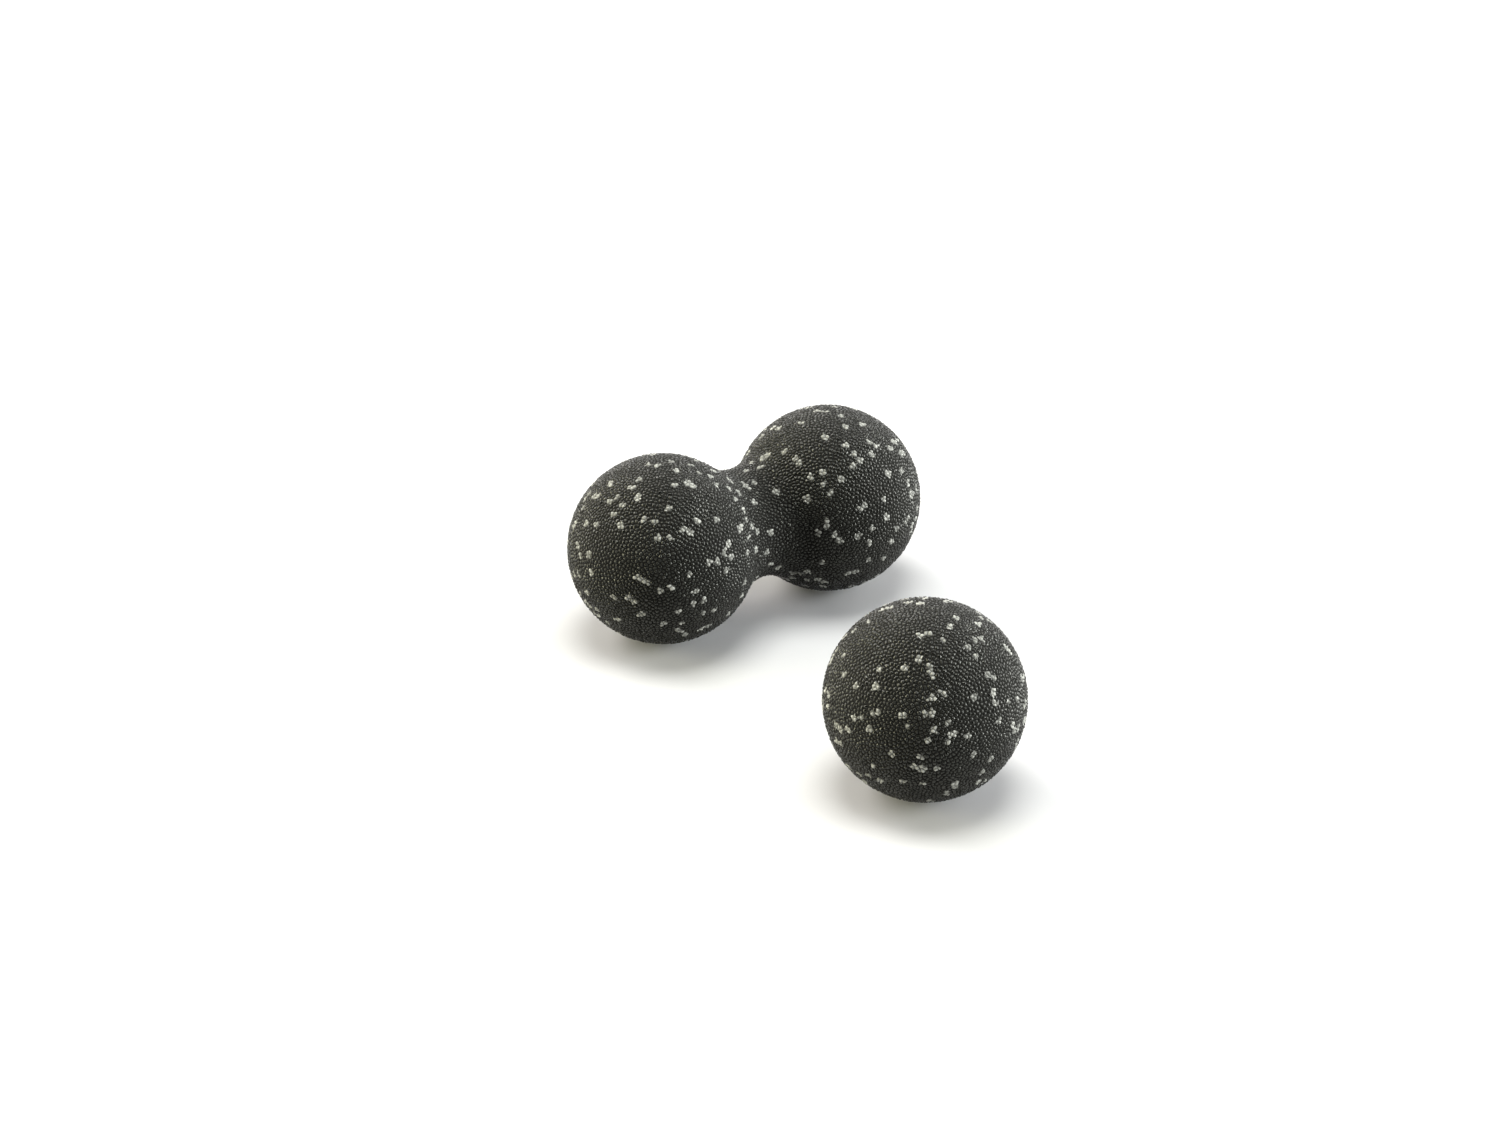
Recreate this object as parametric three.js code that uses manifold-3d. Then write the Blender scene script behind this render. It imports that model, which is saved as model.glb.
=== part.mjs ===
// Massage ball set: a twin ball, which is two lobes joined by a waist, and a loose single ball.
// Each is one solid moulding of expanded polypropylene bead foam, with nothing inside it.
// Millimetres, +Z up. The origin is on the floor, under the middle of the set.

import * as THREE from 'three';
import { mergeVertices } from 'three/addons/utils/BufferGeometryUtils.js';
import Module from 'manifold-3d';

// Driving dimensions
const BALL_RADIUS = 40;         // the single ball and both lobes are 80 mm across
const LOBE_SPACING = 82;        // between the centres of the twin ball's lobes
const WAIST_RADIUS = 24;        // of the twin ball at the thinnest place of its waist
const FILL_MARK_RADIUS = 6;     // of the small flat left by the mould's bead filler
const ROW_DISTANCE = 155;       // along Y, from the twin ball's axis to the single ball's centre
const SINGLE_BALL_SHIFT = -16;  // along X, from the twin ball's middle to the single ball's centre

// Fineness of the facets
const TURN_SEGMENTS = 48;
const ARC_STEP = THREE.MathUtils.degToRad(7.5);

// Sizes that follow from the driving dimensions
const HALF_SPACING = LOBE_SPACING / 2;
const REST_HEIGHT = Math.sqrt(BALL_RADIUS ** 2 - FILL_MARK_RADIUS ** 2);
// The waist is one round hollow, tangent to both lobes.
const WAIST_HOLLOW_RADIUS =
  (WAIST_RADIUS ** 2 + HALF_SPACING ** 2 - BALL_RADIUS ** 2) / (2 * (BALL_RADIUS - WAIST_RADIUS));
const WAIST_HOLLOW_HEIGHT = WAIST_RADIUS + WAIST_HOLLOW_RADIUS;

const wasm = await Module();
wasm.setup();

// Points of an arc in a lathe profile, whose x is the radius and whose y runs along the axis.
// Angles are measured from the axis.
function arc(centreRadius, centreAlong, radius, startAngle, endAngle) {
  const steps = Math.ceil(Math.abs(endAngle - startAngle) / ARC_STEP);
  const points = [];
  for (let step = 0; step <= steps; step += 1) {
    const angle = startAngle + (endAngle - startAngle) * step / steps;
    const distance = Math.max(centreRadius + radius * Math.sin(angle), 0);
    points.push(new THREE.Vector2(distance, centreAlong + radius * Math.cos(angle)));
  }
  return points;
}

function lathe(profile) {
  const geometry = new THREE.LatheGeometry(profile, TURN_SEGMENTS);
  geometry.deleteAttribute('normal');
  geometry.deleteAttribute('uv');
  return mergeVertices(geometry);
}

function toSolid(geometry) {
  const index = geometry.index.array;
  const corners = [];
  for (let i = 0; i < index.length; i += 3) {
    const [a, b, c] = index.slice(i, i + 3);
    if (a !== b && b !== c && c !== a) corners.push(a, b, c);
  }
  return new wasm.Manifold(new wasm.Mesh({
    numProp: 3,
    vertProperties: Float32Array.from(geometry.attributes.position.array),
    triVerts: Uint32Array.from(corners),
  }));
}

function toGeometry(solid) {
  const mesh = solid.getMesh();
  const geometry = new THREE.BufferGeometry();
  geometry.setAttribute('position', new THREE.BufferAttribute(mesh.vertProperties, 3));
  geometry.setIndex(new THREE.BufferAttribute(mesh.triVerts, 1));
  geometry.computeVertexNormals();
  return geometry;
}

// A ball turned about Z, with its fill mark as a flat foot at the bottom.
function singleBallGeometry() {
  const footAngle = Math.PI - Math.asin(FILL_MARK_RADIUS / BALL_RADIUS);
  const profile = [
    new THREE.Vector2(0, -REST_HEIGHT),
    ...arc(0, 0, BALL_RADIUS, footAngle, Math.PI / 2),
    ...arc(0, 0, BALL_RADIUS, Math.PI / 2, 0).slice(1),
  ];
  return lathe(profile).rotateX(Math.PI / 2);
}

// Two lobes and the waist, turned about X, with a fill mark cut flat under each lobe.
function twinBallGeometry() {
  const blendAngle = Math.atan2(WAIST_HOLLOW_HEIGHT, HALF_SPACING);
  const leftLobe = [
    ...arc(0, -HALF_SPACING, BALL_RADIUS, Math.PI, Math.PI / 2),
    ...arc(0, -HALF_SPACING, BALL_RADIUS, Math.PI / 2, blendAngle).slice(1),
  ];
  const waist = arc(WAIST_HOLLOW_HEIGHT, 0, WAIST_HOLLOW_RADIUS, blendAngle - Math.PI, -blendAngle);
  const rightLobe = [
    ...arc(0, HALF_SPACING, BALL_RADIUS, Math.PI - blendAngle, Math.PI / 2),
    ...arc(0, HALF_SPACING, BALL_RADIUS, Math.PI / 2, 0).slice(1),
  ];
  const profile = [...leftLobe, ...waist.slice(1, -1), ...rightLobe];
  const turned = lathe(profile).rotateZ(-Math.PI / 2);

  // A block that reaches past the twin ball on every side, with its top at the feet.
  const depth = BALL_RADIUS;
  const below = new THREE.BoxGeometry(3 * LOBE_SPACING, 3 * BALL_RADIUS, depth);
  below.deleteAttribute('normal');
  below.deleteAttribute('uv');
  below.translate(0, 0, -REST_HEIGHT - depth / 2);
  return toGeometry(toSolid(turned).subtract(toSolid(mergeVertices(below))));
}

function foam(colour) {
  return new THREE.MeshStandardMaterial({ color: colour, roughness: 0.6, metalness: 0 });
}

const set = new THREE.Group();

const twinBall = new THREE.Mesh(twinBallGeometry(), foam(0x33342f));
twinBall.name = 'twin_ball';
twinBall.position.set(0, ROW_DISTANCE / 2, REST_HEIGHT);
set.add(twinBall);

const singleBall = new THREE.Mesh(singleBallGeometry(), foam(0x363731));
singleBall.name = 'single_ball';
singleBall.position.set(SINGLE_BALL_SHIFT, -ROW_DISTANCE / 2, REST_HEIGHT);
set.add(singleBall);

export default set;
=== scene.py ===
import math

import bmesh
import bpy
import numpy as np
from mathutils import Matrix, Vector, noise
from mathutils.kdtree import KDTree


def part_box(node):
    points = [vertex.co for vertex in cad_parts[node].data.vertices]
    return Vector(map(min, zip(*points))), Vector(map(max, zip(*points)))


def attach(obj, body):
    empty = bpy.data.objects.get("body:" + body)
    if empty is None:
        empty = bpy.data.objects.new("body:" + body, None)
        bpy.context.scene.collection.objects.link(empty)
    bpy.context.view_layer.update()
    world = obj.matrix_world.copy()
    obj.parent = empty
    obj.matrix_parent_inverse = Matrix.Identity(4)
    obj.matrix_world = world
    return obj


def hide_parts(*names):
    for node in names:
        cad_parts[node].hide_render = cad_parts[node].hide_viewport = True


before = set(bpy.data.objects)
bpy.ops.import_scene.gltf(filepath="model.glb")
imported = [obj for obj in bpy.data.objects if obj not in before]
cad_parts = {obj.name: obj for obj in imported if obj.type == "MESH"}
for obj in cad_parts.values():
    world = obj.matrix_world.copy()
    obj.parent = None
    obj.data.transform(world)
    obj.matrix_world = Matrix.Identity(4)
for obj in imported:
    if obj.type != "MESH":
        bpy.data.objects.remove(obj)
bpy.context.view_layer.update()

MM = 0.001

# Camera, at the photograph's viewing angle
CAMERA_TURN = math.radians(-32.3)
CAMERA_PITCH = math.radians(30)
CAMERA_DISTANCE = 1.415
CAMERA_AIM = Vector((-0.0165, 0.0483, 0.0395))
LENS = 82.1
SENSOR_WIDTH = 36

# Radius of the twin ball's waist, which the frame's boxes don't give
WAIST_RADIUS = 24 * MM

# Skin mesh: quads across a quarter turn, gap around each grid on the bake's map, and welding distance
QUARTER_QUADS = 200
MAP_INSET = 0.003
WELD_DISTANCE = 0.001 * MM

# Mould grain: pebbles parted by narrow valleys
PEBBLE_SPACING = 1.3 * MM
PEBBLE_SHOULDER = 0.75 * MM     # from a valley to the flat of the pebble's top
PEBBLE_HEIGHT = 0.72 * MM
PEBBLE_HEIGHTS = (0.7, 1)       # shares of the height, from the lowest pebble to the highest
PEBBLE_TILT = 0.22              # spread of the slopes of the pebbles' tops

# Foam beads, some of them grey
BEAD_SPACING = 2.3 * MM
BEAD_SWELL = 0.06 * MM
BEAD_WARP_SIZE = 1.6 * MM
BEAD_WARP = 0.55 * MM
BEAD_TO_PEBBLE = 0.5            # how far the beads' borders follow the pebbles' outlines
GREY_SHARE = 0.10
GREY_REACH = 4.5 * MM           # a new grey bead has fewer than this many grey ones within this reach
GREY_NEIGHBOURS = 2
FAR_FROM_GREY = 1 * MM

# Foam colours, each from the darkest bead to the lightest
BLACK = ((0.0036, 0.0037, 0.0031, 1), (0.0058, 0.0059, 0.0049, 1))
GREY = ((0.21, 0.212, 0.193, 1), (0.32, 0.322, 0.292, 1))
SPECK_EDGE = (0.04, 0.20)       # millimetres inside a grey bead's border, from black to grey
# Painted shade: the foam colour is darkened in the valleys between the pebbles, where the grain is low
PAINTED_SHADE_GRAIN = (0.1, 0.7)
PAINTED_VALLEY_SHADE = (0.35, 1.0)
# Random colour of each pebble, as shares
PEBBLE_SHADE = (0.8, 1.15)

# Foam gloss: matt valleys, glossy tops
PEBBLE_GLOSS = (0.7, 1.0)
GLOSSY_GRAIN = (0.30, 0.62)
ROUGHNESS = (1.0, 0.10)
SPECULAR_LEVEL = 0.35
SPECULAR_TINT = (1, 1, 0.9, 1)
FINE_SIZE = 0.35 * MM
FINE_DETAIL = 2.0
FINE_HEIGHT = 0.01 * MM

# Floor
FLOOR_SIZE = 12
FLOOR_COLOUR = (0.48, 0.48, 0.48, 1)
FLOOR_ROUGHNESS = 0.9
FLOOR_SPECULAR_LEVEL = 0.1

# Light: softboxes around the set and above it, with the camera's side left dark. Each has its name, its
# turn from the camera and its elevation in degrees, its strength and its colour.
SOFTBOX_WIDTH = math.radians(36)
SOFTBOXES = [
    ("left", -85, 15, 3.65, (1.0, 0.96, 0.72)),
    ("right", 85, 15, 5.6, (0.96, 0.99, 1.0)),
    ("back_left", -125, 35, 3.6, (1.0, 0.96, 0.94)),
    ("back_right", 125, 20, 2.3, (0.99, 0.99, 1.0)),
    ("back", 180, 20, 1.5, (1.0, 0.99, 0.98)),
    ("top", 180, 88, 3.8, (0.99, 1.0, 0.97)),
]
WORLD_COLOUR = (0.02, 0.02, 0.02, 1)


def add_camera():
    camera = bpy.data.objects.new("camera", bpy.data.cameras.new("camera"))
    bpy.context.scene.collection.objects.link(camera)
    camera.data.lens = LENS
    camera.data.sensor_width = SENSOR_WIDTH
    camera.rotation_euler = (math.pi / 2 - CAMERA_PITCH, 0, CAMERA_TURN)
    backwards = camera.rotation_euler.to_matrix() @ Vector((0, 0, 1))
    camera.location = CAMERA_AIM + CAMERA_DISTANCE * backwards
    bpy.context.scene.camera = camera


# ---- the smooth bodies, turned about X

def ball_profile(radius):
    """A ball's outline as a function and its length.

    The function takes a length along the outline and gives the distance from the axis and the place along it.
    """
    def at(length):
        angle = length / radius
        return radius * np.sin(angle), -radius * np.cos(angle)
    return at, math.pi * radius


def twin_profile(radius, half_spacing, waist):
    """The same for two lobes joined by one round hollow that is tangent to both."""
    hollow = (waist ** 2 + half_spacing ** 2 - radius ** 2) / (2 * (radius - waist))
    blend = math.atan2(waist + hollow, half_spacing)
    lobe_length = radius * (math.pi - blend)
    total = 2 * (lobe_length + hollow * (math.pi / 2 - blend))

    def at(length):
        from_end = np.minimum(length, total - length)
        angle = from_end / radius
        turn = blend + (from_end - lobe_length) / hollow
        on_lobe = from_end < lobe_length
        distance = np.where(on_lobe, radius * np.sin(angle), waist + hollow * (1 - np.sin(turn)))
        along = np.where(on_lobe, -half_spacing - radius * np.cos(angle), -hollow * np.cos(turn))
        return distance, np.where(length < total / 2, along, -along)
    return at, total


def turned_grids(profile, total, radius, columns, rows):
    """Six grids of points that cover a body turned about X: two end caps and four sides."""
    across = np.linspace(-1, 1, columns + 1) * math.pi / 4
    grids = []
    for end in (-1, 1):
        a, b = np.meshgrid(np.tan(across), np.tan(across), indexing="ij")
        direction = np.stack([np.full_like(a, end), a, b], axis=-1)
        direction /= np.linalg.norm(direction, axis=-1, keepdims=True)
        tip = profile(np.array(0.0 if end < 0 else total))[1]
        grids.append(np.array([tip - end * radius, 0, 0]) + radius * direction)
    cap_reach = np.arccos(1 / np.sqrt(2 + np.tan(across) ** 2)) * radius
    share = np.linspace(0, 1, rows + 1)
    length = cap_reach[:, None] + share * (total - 2 * cap_reach[:, None])
    distance, along = profile(length)
    for quarter in range(4):
        turn = (across + quarter * math.pi / 2)[:, None]
        grids.append(np.stack([along, distance * np.cos(turn), distance * np.sin(turn)], axis=-1))
    return grids


def map_places(tiles, width, height):
    """Corner and size of each grid on the bake's map, a little apart from its neighbours."""
    gap = MAP_INSET
    return [((x / width + gap, y / height + gap), (w / width - 2 * gap, h / height - 2 * gap))
            for x, y, w, h in tiles]


def single_map(columns, rows):
    """A ball's six grids, three by two. They are all square, so that rows equals columns."""
    tiles = [(x * columns, y * rows, columns, rows) for y in range(2) for x in range(3)]
    return map_places(tiles, 3 * columns, 2 * rows)


def twin_map(columns, rows):
    """The twin ball's two square caps, with its four long sides above them."""
    caps = [(x * columns, 0, columns, columns) for x in range(2)]
    sides = [(x * columns, columns, columns, rows) for x in range(4)]
    return map_places(caps + sides, 4 * columns, columns + rows)


def closed_mesh(name, grids, places):
    """One closed mesh from the grids, with its own map for the bake."""
    points, faces, marks = [], [], []
    first = 0
    for grid, (corner, size) in zip(grids, places):
        n, m = grid.shape[:2]
        index = first + np.arange(n * m).reshape(n, m)
        first += n * m
        quads = np.stack([index[:-1, :-1], index[1:, :-1], index[1:, 1:], index[:-1, 1:]], axis=-1)
        u, v = np.meshgrid(np.linspace(0, size[0], n), np.linspace(0, size[1], m), indexing="ij")
        points.append(grid.reshape(-1, 3))
        faces.append(quads.reshape(-1, 4))
        marks.append(np.stack([corner[0] + u, corner[1] + v], axis=-1).reshape(-1, 2))
    points, faces, marks = map(np.concatenate, (points, faces, marks))
    mesh = bpy.data.meshes.new(name)
    mesh.from_pydata(points, [], faces)
    bake_map = mesh.uv_layers.new(name="OFBake")
    bake_map.data.foreach_set("uv", marks[faces.ravel()].astype(np.float32).ravel())
    welded = bmesh.new()
    welded.from_mesh(mesh)
    bmesh.ops.remove_doubles(welded, verts=welded.verts, dist=WELD_DISTANCE)
    bmesh.ops.recalc_face_normals(welded, faces=welded.faces)
    welded.to_mesh(mesh)
    welded.free()
    return mesh


# ---- grain and beads on the skin

def read_vectors(items, name):
    values = np.zeros(len(items) * 3, np.float32)
    items.foreach_get(name, values)
    return values.reshape(-1, 3).astype(float)


def search_tree(points):
    tree = KDTree(len(points))
    for index, point in enumerate(points):
        tree.insert(point, index)
    tree.balance()
    return tree


def scatter(points, spacing, rng):
    """Points taken in a random order that keep at least this spacing."""
    tree = search_tree(points)
    free = np.ones(len(points), bool)
    chosen = []
    for index in rng.permutation(len(points)):
        if free[index]:
            chosen.append(index)
            free[[near[1] for near in tree.find_range(points[index], spacing)]] = False
    return points[chosen]


def nearest_cells(places, centres):
    """For each place its own cell, the next cell, and the distance to the border between them."""
    tree = search_tree(centres)
    found = [tree.find_n(place, 2) for place in places]
    own = np.array([pair[0][1] for pair in found])
    other = np.array([pair[1][1] for pair in found])
    near = np.array([pair[0][2] for pair in found])
    far = np.array([pair[1][2] for pair in found])
    apart = np.linalg.norm(centres[own] - centres[other], axis=1)
    return own, other, (far ** 2 - near ** 2) / (2 * apart)


def grey_beads(beads, rng):
    """Picks beads in a random order, and passes over those that would make a group of more than a few."""
    tree = search_tree(beads)
    grey = np.zeros(len(beads), bool)
    for index in rng.permutation(len(beads))[:round(GREY_SHARE * len(beads))]:
        around = [near[1] for near in tree.find_range(beads[index], GREY_REACH)]
        grey[index] = grey[around].sum() < GREY_NEIGHBOURS
    return grey


def warp(places, size, amount):
    """Shifts the places by smooth noise, so that borders between cells wander."""
    shift = np.array([noise.noise_vector(place) for place in places / size])
    return places + amount * shift


def set_value(mesh, name, values):
    mesh.attributes.new(name, "FLOAT", "POINT").data.foreach_set("value", values.astype(np.float32))


def raise_skin(mesh, foot, seed):
    """Presses grain and beads into the smooth body, and keeps what the material needs to know."""
    rng = np.random.default_rng(seed)
    noise.seed_set(seed)    # noise_vector takes its offset from this, and from the clock without it or at 0
    places = read_vectors(mesh.vertices, "co")
    normals = read_vectors(mesh.vertices, "normal")

    pebbles = scatter(places, PEBBLE_SPACING, rng)
    pebble, _, border = nearest_cells(places, pebbles)
    shoulder = 1 - np.clip(border / PEBBLE_SHOULDER, 0, 1)
    grain = (1 - shoulder ** 2) * rng.uniform(*PEBBLE_HEIGHTS, len(pebbles))[pebble]
    tilt = rng.normal(0, PEBBLE_TILT, (len(pebbles), 3))[pebble]
    lean = (tilt * (places - pebbles[pebble])).sum(axis=1) * grain

    beads = scatter(places, BEAD_SPACING, rng)
    grey = grey_beads(beads, rng)
    snapped = places + BEAD_TO_PEBBLE * (pebbles[pebble] - places)
    bead, next_bead, edge = nearest_cells(warp(snapped, BEAD_WARP_SIZE, BEAD_WARP), beads)
    outside = np.where(grey[next_bead], edge, FAR_FROM_GREY)
    inside_grey = np.where(grey[bead], edge, -outside)

    swell = np.minimum(edge / BEAD_SPACING * 2, 1) * BEAD_SWELL
    height = np.minimum(PEBBLE_HEIGHT * (grain - 1) + swell - BEAD_SWELL + lean, 0)
    places += normals * height[:, None]
    places[:, 2] = np.maximum(places[:, 2], foot)
    mesh.vertices.foreach_set("co", places.astype(np.float32).ravel())
    set_value(mesh, "grain", grain)
    set_value(mesh, "speck", inside_grey / MM)
    set_value(mesh, "bead_tone", rng.random(len(beads))[bead])
    set_value(mesh, "pebble_tone", rng.random(len(pebbles))[pebble])
    mesh.shade_smooth()


# ---- material

def add(tree, kind, inputs=(), **settings):
    """A node. Each input is a value, or another node's socket to link to."""
    node = tree.nodes.new(kind)
    for key, value in settings.items():
        setattr(node, key, value)
    for key, value in dict(inputs).items():
        if isinstance(value, bpy.types.NodeSocket):
            tree.links.new(value, node.inputs[key])
        else:
            node.inputs[key].default_value = value
    return node


def attribute(tree, name):
    return add(tree, "ShaderNodeAttribute", attribute_name=name).outputs["Fac"]


def multiply(tree, first, second):
    return add(tree, "ShaderNodeMath", {0: first, 1: second}, operation="MULTIPLY").outputs[0]


def remap(tree, value, limits, results, kind="LINEAR"):
    return add(tree, "ShaderNodeMapRange", {
        "Value": value,
        "From Min": limits[0],
        "From Max": limits[1],
        "To Min": results[0],
        "To Max": results[1],
    }, interpolation_type=kind).outputs["Result"]


def mix_colours(tree, share, first, second):
    # A Mix node holds one set of sockets for each data type: 6 and 7 are the two colours, 2 the result.
    node = add(tree, "ShaderNodeMix", {0: share, 6: first, 7: second}, data_type="RGBA")
    return node.outputs[2]


def foam_material(name):
    material = bpy.data.materials.new(name)
    material.use_nodes = True
    tree = material.node_tree
    shader = tree.nodes["Principled BSDF"]
    place = add(tree, "ShaderNodeTexCoord").outputs["Object"]
    grain = attribute(tree, "grain")
    bead_tone = attribute(tree, "bead_tone")
    pebble_tone = attribute(tree, "pebble_tone")

    black = mix_colours(tree, bead_tone, *BLACK)
    grey = mix_colours(tree, bead_tone, *GREY)
    speck = remap(tree, attribute(tree, "speck"), SPECK_EDGE, (0, 1), "SMOOTHSTEP")
    colour = mix_colours(tree, speck, black, grey)
    # Painted shade: the colour is darkened in the valleys between pebbles, then scaled by each pebble's
    # random tone
    valley = remap(tree, grain, PAINTED_SHADE_GRAIN, PAINTED_VALLEY_SHADE, "SMOOTHSTEP")
    painted_shade_and_pebble_tone = multiply(tree, valley, remap(tree, pebble_tone, (0, 1), PEBBLE_SHADE))
    colour_with_shade_and_tone = add(tree, "ShaderNodeVectorMath", {0: colour, "Scale": painted_shade_and_pebble_tone}, operation="SCALE")
    tree.links.new(colour_with_shade_and_tone.outputs[0], shader.inputs["Base Color"])

    gloss = multiply(tree, grain, remap(tree, pebble_tone, (0, 1), PEBBLE_GLOSS))
    tree.links.new(remap(tree, gloss, GLOSSY_GRAIN, ROUGHNESS), shader.inputs["Roughness"])
    shader.inputs["Specular IOR Level"].default_value = SPECULAR_LEVEL
    shader.inputs["Specular Tint"].default_value = SPECULAR_TINT

    fine = add(tree, "ShaderNodeTexNoise", {"Vector": place, "Scale": 1 / FINE_SIZE, "Detail": FINE_DETAIL})
    bump = add(tree, "ShaderNodeBump", {"Height": fine.outputs["Fac"], "Distance": FINE_HEIGHT})
    tree.links.new(bump.outputs["Normal"], shader.inputs["Normal"])
    return material


# ---- pieces

def foam_piece(node, slot, profile_of, map_of, seed):
    """Replaces a CAD node by a foam skin. Its balls are as wide as the node's box, at the box's top."""
    low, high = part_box(node)
    radius = (high.y - low.y) / 2
    centre = Vector(((low.x + high.x) / 2, (low.y + high.y) / 2, high.z - radius))
    profile, total = profile_of(radius, (high.x - low.x) / 2 - radius)
    quarter = radius * math.pi / 2
    rows = round(QUARTER_QUADS * (total - quarter) / quarter)
    grids = turned_grids(profile, total, radius, QUARTER_QUADS, rows)
    mesh = closed_mesh(slot, grids, map_of(QUARTER_QUADS, rows))
    mesh.transform(Matrix.Translation(centre))
    raise_skin(mesh, low.z, seed)
    mesh.materials.append(foam_material(slot))
    piece = bpy.data.objects.new(slot, mesh)
    bpy.context.scene.collection.objects.link(piece)
    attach(piece, node)
    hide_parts(node)


# ---- surroundings

def add_floor():
    bpy.ops.mesh.primitive_plane_add(size=FLOOR_SIZE, location=(0, 0, 0))
    floor = bpy.context.object
    floor.name = "floor"
    material = bpy.data.materials.new("floor")
    material.use_nodes = True
    shader = material.node_tree.nodes["Principled BSDF"]
    shader.inputs["Base Color"].default_value = FLOOR_COLOUR
    shader.inputs["Roughness"].default_value = FLOOR_ROUGHNESS
    shader.inputs["Specular IOR Level"].default_value = FLOOR_SPECULAR_LEVEL
    floor.data.materials.append(material)


def add_softbox(name, turn, elevation, strength, colour):
    """A round softbox far away: turn is its place around the set, counted from the camera to the right."""
    data = bpy.data.lights.new(name, "SUN")
    data.angle = SOFTBOX_WIDTH
    data.energy = strength
    data.color = colour
    light = bpy.data.objects.new(name, data)
    light.rotation_euler = (math.pi / 2 - math.radians(elevation), 0, CAMERA_TURN + math.radians(turn))
    bpy.context.scene.collection.objects.link(light)


def add_lights():
    for name, turn, elevation, strength, colour in SOFTBOXES:
        add_softbox(name, turn, elevation, strength, colour)
    world = bpy.data.worlds.new("world")
    bpy.context.scene.world = world
    world.use_nodes = True
    world.node_tree.nodes["Background"].inputs["Color"].default_value = WORLD_COLOUR


bpy.context.scene.view_settings.view_transform = "Standard"
add_camera()
foam_piece("single_ball", "ball_foam", lambda radius, half_spacing: ball_profile(radius),
           single_map, seed=2)
foam_piece("twin_ball", "twin_foam",
           lambda radius, half_spacing: twin_profile(radius, half_spacing, WAIST_RADIUS),
           twin_map, seed=1)
add_floor()
add_lights()
